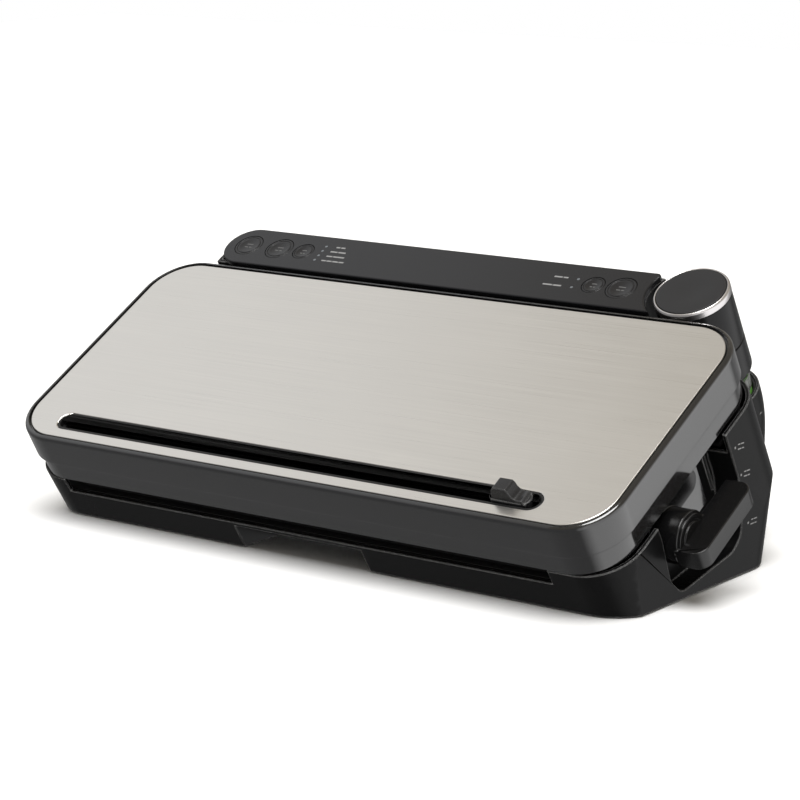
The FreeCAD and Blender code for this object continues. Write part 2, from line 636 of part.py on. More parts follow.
def make_hand_lower():
    """Lower grip of the handheld with a rounded lower end and a floor above the reservoir."""
    body = hand_rod(HAND_R, HAND_END_N, HAND_SPLIT_N - 0.15)
    body = body.makeFillet(5.0, [e for e in body.Edges if e.BoundBox.ZMax < HAND_END_N + 0.1])
    return body.cut(hand_rod(HAND_R - 2.2, HAND_END_N + 2.5, 0)).cut(hand_rod(6, -60, 0))


def make_hand_ring():
    """Silver ring round the cap button."""
    ring = hand_rod(HAND_RING_R, -4.2, 0.2)
    ring = ring.makeFillet(1.6, [e for e in ring.Edges if e.BoundBox.ZMin > 0.1])
    return ring.cut(hand_rod(19.1, -5, 5))


def make_hand_button():
    """Matte cap button with a stem."""
    cap = hand_rod(18.8, -2.0, 0.5)
    cap = cap.makeFillet(0.6, [e for e in cap.Edges if e.BoundBox.ZMin > 0.4])
    return join([cap, hand_rod(5.0, -8.0, -1.9)])


def make_reservoir():
    """Clear liquid cup under the handheld."""
    cup = hand_rod(17.2, -66.0, HAND_END_N - 0.05)
    inner = hand_rod(15.6, -64.2, HAND_END_N + 1)
    return cup.cut(inner).cut(hand_rod(5.0, -70, -60))


def make_hand_nozzle():
    """Green seal ring with the suction mouth."""
    skirt = hand_rod(16.4, -71.5, -66.05)
    skirt = skirt.makeFillet(1.5, [e for e in skirt.Edges if e.BoundBox.ZMax < -71.4])
    mouth = hand_rod(9.0, -76.0, -70.0)
    stub = hand_rod(4.9, -70.0, -62.0)
    return join([skirt, mouth, stub]).cut(hand_rod(2.5, -90, -50))


def make_dock_cup():
    """Liner of the dock: the cup that the nozzle stands in."""
    return hand_rod(18.8, DOCK_FLOOR_N, -67.0).cut(hand_rod(17.4, DOCK_FLOOR_N + 1.6, -60))


# ---------------------------------------------------------------- vacuum pump and other works (level axes)
def make_pump():
    """Vacuum pump: motor can, rotor with fan and eccentric, crankcase, rod and head."""
    can = rod(13.5, Vector(-52, PUMP_Y, PUMP_Z), Vector(-12, PUMP_Y, PUMP_Z))
    can = can.cut(rod(11.6, Vector(-50, PUMP_Y, PUMP_Z), Vector(-14, PUMP_Y, PUMP_Z)))
    can = can.cut(rod(1.56, Vector(-60, PUMP_Y, PUMP_Z), Vector(0, PUMP_Y, PUMP_Z)))
    shaft = rod(1.5, Vector(-60, PUMP_Y, PUMP_Z), Vector(16, PUMP_Y, PUMP_Z))
    armature = rod(9.5, Vector(-46, PUMP_Y, PUMP_Z), Vector(-20, PUMP_Y, PUMP_Z))
    eccentric = rod(4.0, Vector(2, PUMP_Y, PUMP_Z + 1.5), Vector(8, PUMP_Y, PUMP_Z + 1.5))
    fan_hub = rod(3.5, Vector(-59, PUMP_Y, PUMP_Z), Vector(-54.5, PUMP_Y, PUMP_Z))
    blades = []
    for turn in range(6):
        blade = box(-59, -55, PUMP_Y + 2, PUMP_Y + 11, PUMP_Z - 0.5, PUMP_Z + 0.5)
        blade.rotate(Vector(0, PUMP_Y, PUMP_Z), Vector(1, 0, 0), 60 * turn)
        blades.append(blade)
    rotor = join([shaft, armature, eccentric, fan_hub] + blades)
    case = box(-11.5, 18, PUMP_Y - 12.5, PUMP_Y + 12.5, PUMP_Z - 13, PUMP_Z + 15)
    case = case.cut(box(-9, 15.5, PUMP_Y - 8.5, PUMP_Y + 8.5, PUMP_Z - 9, PUMP_Z + 20))
    case = case.cut(rod(1.56, Vector(-15, PUMP_Y, PUMP_Z), Vector(20, PUMP_Y, PUMP_Z)))
    link = rod(7.6, Vector(2.5, PUMP_Y, PUMP_Z + 0.4), Vector(7.5, PUMP_Y, PUMP_Z + 0.4))
    link = join([link, box(3, 7, PUMP_Y - 2, PUMP_Y + 2, PUMP_Z + 6, PUMP_Z + 17),
                 rod(6.5, Vector(4.5, PUMP_Y, PUMP_Z + 15.5), Vector(4.5, PUMP_Y, PUMP_Z + 18))])
    link = link.cut(rod(6.0, Vector(0, PUMP_Y, PUMP_Z), Vector(10, PUMP_Y, PUMP_Z)))
    head = box(-11.5, 18, PUMP_Y - 12.5, PUMP_Y + 12.5, PUMP_Z + 15.1, PUMP_Z + 30)
    head = head.cut(rod(7.0, Vector(4.5, PUMP_Y, PUMP_Z + 10), Vector(4.5, PUMP_Y, PUMP_Z + 22)))
    head = head.fuse(rod(3.0, Vector(-20, PUMP_Y, PUMP_Z + 24), Vector(-11, PUMP_Y, PUMP_Z + 24)))
    return can, rotor, case, link, head.removeSplitter()


def make_hose():
    """Vacuum hose from the floor of the channel, back along the base floor and up to the pump head."""
    radius = 3.2
    run_x = -120.0
    run_z = 14.0
    head_z = PUMP_Z + 24
    start_y = level_y(35, -51.6)
    path = [
        Vector(run_x, start_y, level_z(35, -51.6) - 1.9),
        Vector(run_x, start_y, run_z),
        Vector(run_x, PUMP_Y, run_z),
        Vector(run_x, PUMP_Y, head_z),
        Vector(-20, PUMP_Y, head_z),
    ]
    runs = [rod(radius, start, end) for start, end in zip(path, path[1:])]
    corners = [Part.makeSphere(radius, corner) for corner in path[1:-1]]
    return join(runs + corners)


def fasteners(places, z0, head_r, head_h, shank_r, shank_l):
    """Countersunk screws standing head down at each place."""
    screws = []
    for x, y in places:
        screws.append(join([rod_n(head_r, x, y, z0, z0 + head_h), rod_n(shank_r, x, y, z0, z0 + shank_l)]))
    return Part.makeCompound(screws)


def make_inlet():
    """Two-pin power socket in the rear wall, open to the back, with its pins inside."""
    back = HOUSING_BACK_Y
    shell = box(INLET_X - 10, INLET_X + 10, back - 20, back - 0.3, 18, 34)
    mouth = box(INLET_X - 8, INLET_X + 8, back - 14, back + 2, 21, 31)
    upright = [e for e in mouth.Edges if e.BoundBox.YLength > 10]
    mouth = mouth.makeFillet(4.9, upright)
    pin_places = (INLET_X - 4.3, INLET_X + 4.3)
    pins = [rod(1.2, Vector(x, back - 15, 26), Vector(x, back - 4, 26)) for x in pin_places]
    return join([shell.cut(mouth)] + pins)


def make_transformer():
    """Transformer that feeds the heating strip: iron core with its winding."""
    core = box(62, 108, 147, 173, 4, 42)
    core = core.cut(box(70, 76, 140, 180, 11, 35)).cut(box(94, 100, 140, 180, 11, 35))
    winding = box(70.2, 99.8, 149, 171, 11.2, 34.8).cut(box(76, 94, 140, 180, 0, 50))
    return join([core, winding])


def make_base_floor():
    """Floor plate that closes the tub and the rear housing, with screw holes and a row of vents."""
    layer = box(-250, 250, -50, 300, FLOOR_Z0, FLOOR_Z1)
    bridge = box(-158, 120, 165, 190, FLOOR_Z0, FLOOR_Z1)
    floor = join([tub_solid(3.0).common(layer), housing_solid(3.0, 0).common(layer), bridge])
    floor = floor.cut(recess_prism(2.5)).cut(pocket_prism(POCKET_U - 0.6, 230, -3))
    for x, y in CASE_SCREWS:
        floor = floor.cut(rod_n(1.6, x, y, 0, 5))
    for x in range(-60, 61, 12):
        floor = floor.cut(box(x - 2, x + 2, 90, 120, 0, 5))
    return floor


def make_hinge_pins():
    """Two short pins pressed into the cheeks of the lid frame."""
    pins = []
    for side in (-1, 1):
        centre = side * HINGE_U
        pins.append(rod_u(HINGE_PIN_R - 0.01, centre - 7.4, centre + 7.4, HINGE_V, HINGE_N))
    return Part.makeCompound(pins)


def make_liner_screws():
    """Pan-head screws that hold the liner to the lid's posts."""
    screws = []
    for u, v in LINER_SCREWS:
        screws.append(join([rod_n(1.49, u, v, -20.6, -8.5), rod_n(3.0, u, v, -20.6, -19.25)]))
    return Part.makeCompound(screws)


def make_release_valve():
    """Solenoid valve that lets air back into the channel."""
    return join([box(28, 52, 148, 170, 5, 29), rod_n(3.0, 40, 159, 29, 38)])


def make_pressure_switch():
    """Round vacuum switch with its hose stub."""
    return join([rod_n(9.0, -95, 160, 5, 16), rod_n(2.4, -95, 160, 16, 26)])


def make_lid_switch():
    """Small switch under the deck that feels the left strap."""
    return join([box(-186, -180, 60, 74, -60, -50), box(-184, -182, 66, 72, -50, -46)])


def make_charge_contacts():
    """Two spring contacts under the dock cup."""
    places = (HAND_U - 7, HAND_U + 7)
    return Part.makeCompound([rod_n(1.2, u, HAND_V + 6, DOCK_FLOOR_N - 4.5, DOCK_FLOOR_N) for u in places])


# ---------------------------------------------------------------- write every node
knob, carriage, blade = make_cutter()
motor_can, rotor, crankcase, link, pump_head = make_pump()

# lid
save("lid_frame", sloped(make_lid_frame()))
save("lid_plate", sloped(make_lid_plate()))
save("cutter_track", sloped(make_cutter_track()))
save("lid_liner", sloped(make_lid_liner()))
save("lid_gasket", sloped(ring_slab(-156.5, 143.5, 18.2, 51.8, 4.2, -34.8, -28.0, 5)))
save("pressure_strip", sloped(slab(-158, 145, 7, 14, -34.9, -28.0, 1)))
save("lid_catches", sloped(make_catches()))
save("latch_plate", sloped(make_latch_plate()))
save("hinge_pins", sloped(make_hinge_pins()))
save("liner_screws", sloped(make_liner_screws()))

# bag cutter
save("cutter_knob", sloped(knob))
save("cutter_carriage", sloped(carriage))
save("cutter_blade", sloped(blade))

# base
save("base_tub", level(make_tub()))
save("inner_deck", sloped(make_deck()))
save("hinge_brackets", sloped(make_hinge_brackets()))
save("lower_gasket", sloped(ring_slab(-156.5, 143.5, 18.2, 51.8, 4.2, LOW_RIM_N, -35.4, 5)))
save("seal_bar", sloped(slab(-160, 147, 5.5, 15.5, LOW_RIM_N, -36.4, 1.5)))
save("heating_strip", sloped(box(-156, 143, 9.3, 11.7, -36.4, -36.1)))
save("release_tape", sloped(box(-158, 145, 7.0, 14.0, -36.1, -35.9)))
save("drip_tray", sloped(make_drip_tray()))

# latch
save("latch_lever", sloped(make_lever()))
save("latch_shaft", sloped(make_latch_shaft()))
save("latch_hooks", sloped(make_latch_hooks()))
save("latch_bushes", sloped(make_latch_bushes()))

# rear housing, panel and dock
save("rear_housing", level(make_rear_housing()))
save("control_panel", sloped(make_panel()))
for name, (u, radius) in BUTTONS.items():
    save(name, sloped(make_button(u, radius)))
save("lamp_lenses", sloped(Part.makeCompound([rod_n(0.9, u, v, -6.0, PANEL_TOP - 0.05) for u, v in LAMPS])))
save("control_board", sloped(make_board()))
save("dock_cup", sloped(make_dock_cup()))

# handheld
save("hand_upper", sloped(make_hand_upper()))
save("hand_lower", sloped(make_hand_lower()))
save("hand_ring", sloped(make_hand_ring()))
save("hand_button", sloped(make_hand_button()))
save("hand_reservoir", sloped(make_reservoir()))
save("hand_nozzle", sloped(make_hand_nozzle()))
save("hand_motor", sloped(hand_rod(11.0, -40.0, -14.0)))
save("hand_battery", sloped(hand_rod(9.0, -47.0, -41.0)))
save("charge_contacts", sloped(make_charge_contacts()))

# pump and power
save("pump_motor_can", level(motor_can))
save("pump_rotor", level(rotor))
save("pump_crankcase", level(crankcase))
save("pump_link", level(link))
save("pump_head", level(pump_head))
save("vacuum_hose", level(make_hose()))

# floor, feet and switches
save("base_floor", level(make_base_floor()))
save("rubber_feet", level(Part.makeCompound([rod_n(7.0, x, y, 0, FLOOR_Z0) for x, y in FEET])))
save("floor_screws", level(fasteners(CASE_SCREWS, 0.9, 3.4, 0.7, 1.59, 9.0)))
save("power_inlet", level(make_inlet()))
save("transformer", level(make_transformer()))
save("release_valve", level(make_release_valve()))
save("pressure_switch", level(make_pressure_switch()))
save("lid_switch", sloped(make_lid_switch()))
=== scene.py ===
"""Countertop vacuum sealer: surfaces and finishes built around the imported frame. Metres, +Z up."""
import json
import math

import bmesh
import bpy
import numpy as np
from mathutils import Matrix, Vector

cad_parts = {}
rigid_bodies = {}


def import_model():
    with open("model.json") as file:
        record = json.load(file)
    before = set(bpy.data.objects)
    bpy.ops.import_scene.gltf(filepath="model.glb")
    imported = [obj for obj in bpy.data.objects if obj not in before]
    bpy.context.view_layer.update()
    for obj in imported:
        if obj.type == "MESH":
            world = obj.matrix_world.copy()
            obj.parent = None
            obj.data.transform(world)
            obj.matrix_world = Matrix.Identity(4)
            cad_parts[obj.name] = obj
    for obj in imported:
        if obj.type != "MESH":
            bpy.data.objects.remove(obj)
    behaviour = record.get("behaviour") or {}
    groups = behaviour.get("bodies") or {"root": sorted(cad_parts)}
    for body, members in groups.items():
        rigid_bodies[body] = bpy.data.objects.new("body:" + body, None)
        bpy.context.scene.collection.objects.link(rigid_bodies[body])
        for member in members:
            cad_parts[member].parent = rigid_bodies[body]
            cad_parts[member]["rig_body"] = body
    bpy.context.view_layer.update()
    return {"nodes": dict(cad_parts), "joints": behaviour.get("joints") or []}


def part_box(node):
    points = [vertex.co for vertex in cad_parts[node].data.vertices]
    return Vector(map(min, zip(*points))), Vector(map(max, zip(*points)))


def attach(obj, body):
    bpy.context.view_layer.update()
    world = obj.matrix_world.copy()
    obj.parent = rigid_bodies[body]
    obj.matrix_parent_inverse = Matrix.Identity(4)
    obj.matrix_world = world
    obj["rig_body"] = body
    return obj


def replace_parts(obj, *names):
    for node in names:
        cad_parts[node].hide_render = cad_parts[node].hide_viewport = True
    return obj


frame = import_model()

joints = {joint["name"]: joint for joint in frame["joints"]}

# ---------------------------------------------------------------- lid plate
# A stamped sheet of stainless steel, brushed from side to side, with a long round-ended hole for the bag
# cutter. It lies in a seat of the lid frame with a dark gap all round, and its edges are eased.
OUT = np.array(joints["tray_lift"]["axis"])
OUT = OUT / np.linalg.norm(OUT)
RIGHT = np.array([1.0, 0.0, 0.0])
BACK = np.cross(OUT, RIGHT)
HINGE_V = 0.1542
HINGE_N = -0.0056
PLATE_MIDDLE = (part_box("lid_plate")[0].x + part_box("lid_plate")[1].x) / 2
CORNER = np.array(joints["lid_hinge"]["pos_m"]) - HINGE_V * BACK - HINGE_N * OUT
CORNER[0] = PLATE_MIDDLE
LID_TILT = math.atan2(BACK[2], BACK[1])


def lid_point(u, v, n):
    """Place of sloped coordinates: u right of the plate's middle, v up the slope, n out of the lid."""
    u, v, n = np.broadcast_arrays(u, v, n)
    return CORNER + u[..., None] * RIGHT + v[..., None] * BACK + n[..., None] * OUT


def settle(piece, node, material):
    """Hangs a finished piece on its node's body, with the given material, in the node's stead."""
    piece.data.materials.clear()
    piece.data.materials.append(material)
    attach(piece, frame["nodes"][node]["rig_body"])
    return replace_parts(piece, node)


def finished(node, material, edge=0.0004, sharp=32):
    """The node's own surface as whole faces, its sharp edges eased by a narrow round.

    Corners within a micrometre are welded and faces within half a degree of flat are joined. Edges
    sharper than the given angle get a bevel of the given width, and normals follow the larger faces.
    """
    mesh = frame["nodes"][node].data.copy()
    work = bmesh.new()
    work.from_mesh(mesh)
    bmesh.ops.remove_doubles(work, verts=work.verts, dist=1e-6)
    flat = math.radians(0.5)
    bmesh.ops.dissolve_limit(work, angle_limit=flat, verts=work.verts, edges=work.edges)
    work.to_mesh(mesh)
    work.free()
    mesh.shade_smooth()
    mesh.set_sharp_from_angle(angle=math.radians(sharp))
    piece = bpy.data.objects.new(node + "_finished", mesh)
    bpy.context.scene.collection.objects.link(piece)
    if edge:
        bevel = piece.modifiers.new("eased edges", "BEVEL")
        bevel.width = edge
        bevel.segments = 2
        bevel.limit_method = "ANGLE"
        bevel.angle_limit = math.radians(sharp)
        bevel.use_clamp_overlap = False
        bevel.harden_normals = False
    even = piece.modifiers.new("even shading", "WEIGHTED_NORMAL")
    even.keep_sharp = not edge
    return settle(piece, node, material)


def group(name, inputs, outputs):
    """Empty shader group with its named number, vector and colour sockets."""
    tree = bpy.data.node_groups.new(name, "ShaderNodeTree")
    for label, kind in inputs:
        tree.interface.new_socket(label, in_out="INPUT", socket_type="NodeSocket" + kind)
    for label, kind in outputs:
        tree.interface.new_socket(label, in_out="OUTPUT", socket_type="NodeSocket" + kind)
    return tree, tree.nodes.new("NodeGroupInput"), tree.nodes.new("NodeGroupOutput")


def noise(tree, vector, scale, detail=4.0, rough=0.5):
    """Noise texture node on the given coordinates."""
    node = tree.nodes.new("ShaderNodeTexNoise")
    node.inputs["Scale"].default_value = scale
    node.inputs["Detail"].default_value = detail
    node.inputs["Roughness"].default_value = rough
    tree.links.new(vector, node.inputs["Vector"])
    return node


def span(tree, value, low, high, to_low, to_high):
    """Map Range node from low..high to to_low..to_high."""
    node = tree.nodes.new("ShaderNodeMapRange")
    for label, number in zip(("From Min", "From Max", "To Min", "To Max"), (low, high, to_low, to_high)):
        node.inputs[label].default_value = number
    tree.links.new(value, node.inputs["Value"])
    return node.outputs["Result"]


def calc(tree, operation, first, second):
    """Math node; each term is a socket or a number."""
    node = tree.nodes.new("ShaderNodeMath")
    node.operation = operation
    for socket, term in zip(node.inputs, (first, second)):
        if isinstance(term, (int, float)):
            socket.default_value = term
        else:
            tree.links.new(term, socket)
    return node.outputs["Value"]


def brushing_group():
    """Long fine scratches along X in the lid's plane: noise stretched 400 times along the brush."""
    tree, source, result = group(
        "brushing", [("Vector", "Vector"), ("Depth", "Float")],
        [("Streaks", "Float"), ("Normal", "Vector")])
    turn = tree.nodes.new("ShaderNodeMapping")
    turn.vector_type = "POINT"
    turn.inputs["Rotation"].default_value = (-LID_TILT, 0, 0)
    tree.links.new(source.outputs["Vector"], turn.inputs["Vector"])
    stretch = tree.nodes.new("ShaderNodeMapping")
    stretch.inputs["Scale"].default_value = (6.0, 2400.0, 30.0)
    tree.links.new(turn.outputs["Vector"], stretch.inputs["Vector"])
    fine = noise(tree, stretch.outputs["Vector"], 1.0, 3.0, 0.6).outputs["Fac"]
    bands = tree.nodes.new("ShaderNodeMapping")
    bands.inputs["Scale"].default_value = (14.0, 700.0, 30.0)
    tree.links.new(turn.outputs["Vector"], bands.inputs["Vector"])
    broad = noise(tree, bands.outputs["Vector"], 1.0, 2.0, 0.5).outputs["Fac"]
    both = calc(tree, "ADD", calc(tree, "MULTIPLY", fine, 0.75), calc(tree, "MULTIPLY", broad, 0.25))
    bump = tree.nodes.new("ShaderNodeBump")
    bump.inputs["Distance"].default_value = 0.00002
    tree.links.new(source.outputs["Depth"], bump.inputs["Strength"])
    tree.links.new(both, bump.inputs["Height"])
    tree.links.new(both, result.inputs["Streaks"])
    tree.links.new(bump.outputs["Normal"], result.inputs["Normal"])
    return tree


def marks_group():
    """Faint wipe marks and finger touches: slow noise plus a few broken smears."""
    tree, source, result = group(
        "wipe marks", [("Vector", "Vector"), ("Even", "Float"), ("Spread", "Float")],
        [("Roughness", "Float")])
    slow = noise(tree, source.outputs["Vector"], 14.0, 3.0, 0.55).outputs["Fac"]
    smear = noise(tree, source.outputs["Vector"], 90.0, 5.0, 0.7).outputs["Fac"]
    wear_and_edge_highlight = calc(tree, "MULTIPLY", span(tree, slow, 0.35, 0.7, 0.0, 1.0),
                span(tree, smear, 0.4, 0.65, 0.3, 1.0))
    rough = calc(tree, "ADD", source.outputs["Even"], calc(tree, "MULTIPLY", wear_and_edge_highlight, source.outputs["Spread"]))
    tree.links.new(rough, result.inputs["Roughness"])
    return tree


def tint_group():
    """Small drift of a colour over the surface, with a trace of dust on what faces up."""
    tree, source, result = group(
        "tint drift", [("Vector", "Vector"), ("Colour", "Color"), ("Drift", "Float"), ("Dust", "Float")],
        [("Colour", "Color")])
    slow = noise(tree, source.outputs["Vector"], 25.0, 3.0).outputs["Fac"]
    swing = calc(tree, "MULTIPLY", calc(tree, "SUBTRACT", slow, 0.5), source.outputs["Drift"])
    level = calc(tree, "ADD", swing, 1.0)
    shade = tree.nodes.new("ShaderNodeVectorMath")
    shade.operation = "SCALE"
    tree.links.new(source.outputs["Colour"], shade.inputs["Vector"])
    tree.links.new(level, shade.inputs["Scale"])
    facing = tree.nodes.new("ShaderNodeSeparateXYZ")
    tree.links.new(tree.nodes.new("ShaderNodeNewGeometry").outputs["Normal"], facing.inputs["Vector"])
    specks = noise(tree, source.outputs["Vector"], 1800.0, 2.0, 0.8).outputs["Fac"]
    lying = calc(tree, "MULTIPLY", span(tree, facing.outputs["Z"], 0.3, 1.0, 0.0, 1.0),
                 span(tree, specks, 0.62, 0.72, 0.0, 1.0))
    mix = tree.nodes.new("ShaderNodeMix")
    mix.data_type = "RGBA"
    tree.links.new(calc(tree, "MULTIPLY", lying, source.outputs["Dust"]), mix.inputs["Factor"])
    tree.links.new(shade.outputs["Vector"], mix.inputs["A"])
    mix.inputs["B"].default_value = (0.45, 0.43, 0.40, 1.0)
    tree.links.new(mix.outputs["Result"], result.inputs["Colour"])
    return tree


brushing = brushing_group()
wipe_marks = marks_group()
tint_drift = tint_group()


def material(name, metallic=0.0):
    """New material with its shader and object coordinates."""
    made = bpy.data.materials.new(name)
    made.use_nodes = True
    tree = made.node_tree
    shader = tree.nodes["Principled BSDF"]
    shader.inputs["Metallic"].default_value = metallic
    place = tree.nodes.new("ShaderNodeTexCoord").outputs["Object"]
    return made, tree, shader, place


def placed(tree, shared, place, **values):
    """One use of a shared group in a material, with its own values."""
    node = tree.nodes.new("ShaderNodeGroup")
    node.node_tree = shared
    tree.links.new(place, node.inputs["Vector"])
    for label, number in values.items():
        node.inputs[label].default_value = number
    return node


def steel_finish(name, colour, even, spread, depth):
    """Brushed steel: streaks lighten and roughen it along the brush."""
    made, tree, shader, place = material(name, metallic=1.0)
    scratches = placed(tree, brushing, place, Depth=depth)
    drift = placed(tree, tint_drift, place, Colour=(*colour, 1.0), Drift=0.03, Dust=0.0)
    mix = tree.nodes.new("ShaderNodeMix")
    mix.data_type = "RGBA"
    mix.blend_type = "MULTIPLY"
    mix.inputs["Factor"].default_value = 1.0
    tree.links.new(drift.outputs["Colour"], mix.inputs["A"])
    tree.links.new(span(tree, scratches.outputs["Streaks"], 0.25, 0.75, 0.94, 1.04), mix.inputs["B"])
    tree.links.new(mix.outputs["Result"], shader.inputs["Base Color"])
    rough = placed(tree, wipe_marks, place, Even=even, Spread=spread)
    grain = span(tree, scratches.outputs["Streaks"], 0.2, 0.8, -0.06, 0.06)
    tree.links.new(calc(tree, "ADD", rough.outputs["Roughness"], grain), shader.inputs["Roughness"])
    tree.links.new(scratches.outputs["Normal"], shader.inputs["Normal"])
    return made


plate_steel = steel_finish("brushed plate steel", (0.80, 0.78, 0.745), 0.30, 0.03, 0.25)
finished("lid_plate", plate_steel, edge=0.0005)

# ---------------------------------------------------------------- lid frame
# The lid's moulded frame in high-gloss black: a rounded rim round the plate, an upper skirt and, set in
# below a small step, a lower skirt. It is polished in the mould, so it mirrors the room.


def grain_group():
    """Spark-eroded mould grain: small rounded pits from two scales of noise."""
    tree, source, result = group(
        "mould grain", [("Vector", "Vector"), ("Pitch", "Float"), ("Depth", "Float")],
        [("Normal", "Vector")])
    spread = tree.nodes.new("ShaderNodeVectorMath")
    spread.operation = "SCALE"
    tree.links.new(source.outputs["Vector"], spread.inputs["Vector"])
    tree.links.new(source.outputs["Pitch"], spread.inputs["Scale"])
    pits = noise(tree, spread.outputs["Vector"], 1.0, 2.0, 0.5).outputs["Fac"]
    waves = noise(tree, spread.outputs["Vector"], 0.22, 1.0, 0.5).outputs["Fac"]
    bump = tree.nodes.new("ShaderNodeBump")
    bump.inputs["Distance"].default_value = 0.00005
    tree.links.new(source.outputs["Depth"], bump.inputs["Strength"])
    tree.links.new(calc(tree, "ADD", pits, calc(tree, "MULTIPLY", waves, 0.5)), bump.inputs["Height"])
    tree.links.new(bump.outputs["Normal"], result.inputs["Normal"])
    return tree


mould_grain = grain_group()


def painted_edge_highlight_group():
    """Mask of the edges, where the plastic is painted paler as a highlight: rounded against true normal."""
    tree, source, result = group(
        "painted edge highlight", [("Vector", "Vector"), ("Reach", "Float")], [("Mask", "Float")])
    rounded = tree.nodes.new("ShaderNodeBevel")
    rounded.samples = 6
    tree.links.new(source.outputs["Reach"], rounded.inputs["Radius"])
    compare = tree.nodes.new("ShaderNodeVectorMath")
    compare.operation = "DOT_PRODUCT"
    tree.links.new(rounded.outputs["Normal"], compare.inputs[0])
    tree.links.new(tree.nodes.new("ShaderNodeNewGeometry").outputs["Normal"], compare.inputs[1])
    broken = noise(tree, source.outputs["Vector"], 60.0, 3.0).outputs["Fac"]
    near = span(tree, compare.outputs["Value"], 0.985, 0.90, 0.0, 1.0)
    patchy = span(tree, broken, 0.3, 0.6, 0.8, 1.0)
    tree.links.new(calc(tree, "MULTIPLY", near, patchy), result.inputs["Mask"])
    return tree


painted_edge_highlight = painted_edge_highlight_group()


def plastic_finish(name, colour, even, spread=0.05, pitch=2500.0, depth=0.1, dust=0.02, coat=0.0, shine=0.5,
                   wear_and_edge_highlight=0.0):
    """Moulded plastic: drifting tint, wipe marks in the gloss, mould grain and, if set, edges painted paler
    as a highlight.
    """
    made, tree, shader, place = material(name)
    tint = placed(tree, tint_drift, place, Colour=(*colour, 1.0), Drift=0.10, Dust=dust)
    tree.links.new(tint.outputs["Colour"], shader.inputs["Base Color"])
    if wear_and_edge_highlight:
        # painted highlight: the base colour is lightened towards the given grey along the edges, in place of
        # the light they catch
        edges = placed(tree, painted_edge_highlight, place, Reach=0.0011)
        painted_highlight_mix = tree.nodes.new("ShaderNodeMix")
        painted_highlight_mix.data_type = "RGBA"
        painted_highlight_mix.inputs["B"].default_value = (wear_and_edge_highlight, wear_and_edge_highlight, wear_and_edge_highlight, 1.0)
        tree.links.new(edges.outputs["Mask"], painted_highlight_mix.inputs["Factor"])
        tree.links.new(tint.outputs["Colour"], painted_highlight_mix.inputs["A"])
        tree.links.new(painted_highlight_mix.outputs["Result"], shader.inputs["Base Color"])
    rough = placed(tree, wipe_marks, place, Even=even, Spread=spread)
    tree.links.new(rough.outputs["Roughness"], shader.inputs["Roughness"])
    grain = placed(tree, mould_grain, place, Pitch=pitch, Depth=depth)
    tree.links.new(grain.outputs["Normal"], shader.inputs["Normal"])
    shader.inputs["Specular IOR Level"].default_value = shine
    shader.inputs["Coat Weight"].default_value = coat
    shader.inputs["Coat Roughness"].default_value = 0.06
    return made


gloss_black = plastic_finish(
    "gloss black", (0.006, 0.006, 0.0065), 0.13, 0.05, 900.0, 0.02, 0.01, coat=1.0)
finished("lid_frame", gloss_black, edge=0.0005)

# ---------------------------------------------------------------- bag cutter
# A black track fills the slot. The cutter's knob, a fin with a scoop for a fingertip, slides along it
# on a carriage that carries a small blade under the lid.
inner_black = plastic_finish(
    "matte inner black", (0.006, 0.006, 0.0063), 0.48, 0.08, 3200.0, 0.25, 0.01, shine=0.3)
# painted highlight: the knob's edges are lightened a little in the base colour
knob_black = plastic_finish(
    "knob black", (0.010, 0.010, 0.011), 0.26, 0.06, 3000.0, 0.08, shine=0.45, wear_and_edge_highlight=0.10)
blade_steel = steel_finish("blade steel", (0.78, 0.78, 0.78), 0.18, 0.02, 0.1)
finished("cutter_track", inner_black, edge=0.0003)
finished("cutter_knob", knob_black, edge=0.0005)
finished("cutter_carriage", inner_black, edge=0.0002)
finished("cutter_blade", blade_steel, edge=0.0)

# ---------------------------------------------------------------- lid underside
# A black liner is screwed to the lid's posts. It carries a soft ring gasket and, in front, the pressure
# strip. Steel straps for the latch and short hinge pins are fixed in the frame.
zinc_steel = steel_finish("zinc plated steel", (0.66, 0.67, 0.66), 0.34, 0.06, 0.15)
soft_grey = plastic_finish("soft grey rubber", (0.055, 0.055, 0.056), 0.62, 0.06, 1500.0, 0.15)
soft_black = plastic_finish("black rubber", (0.015, 0.015, 0.015), 0.66, 0.06, 1800.0, 0.2)
finished("lid_liner", inner_black, edge=0.0003)
finished("lid_gasket", soft_grey, edge=0.0008)
finished("pressure_strip", soft_black, edge=0.0008)
finished("lid_catches", zinc_steel, edge=0.0002)
finished("latch_plate", gloss_black, edge=0.0004)
finished("hinge_pins", zinc_steel, edge=0.0002)
finished("liner_screws", zinc_steel, edge=0.0002)

# ---------------------------------------------------------------- base tub, floor and feet
# The tub is moulded in satin black with a fine grain; a paler colour painted along its edges stands in
# for a highlight. A floor plate is screwed under it, and six rubber feet are stuck into the floor plate.
# painted highlight: the tub's edges are lightened in the base colour, standing in for the light they catch
satin_black = plastic_finish(
    "satin black", (0.0035, 0.0035, 0.0037), 0.27, 0.06, 2600.0, 0.06, 0.005, shine=0.10, wear_and_edge_highlight=0.34)
finished("base_tub", satin_black, edge=0.0006)
finished("base_floor", inner_black, edge=0.0002)
finished("rubber_feet", soft_black, edge=0.0004)
finished("floor_screws", zinc_steel, edge=0.0002)

# ---------------------------------------------------------------- deck under the lid
# The deck closes the tub. It holds the roll bay, the lower ring gasket, the seal bar with its heating
# strip under a woven release tape, the hinge ears and the lift-out drip tray.


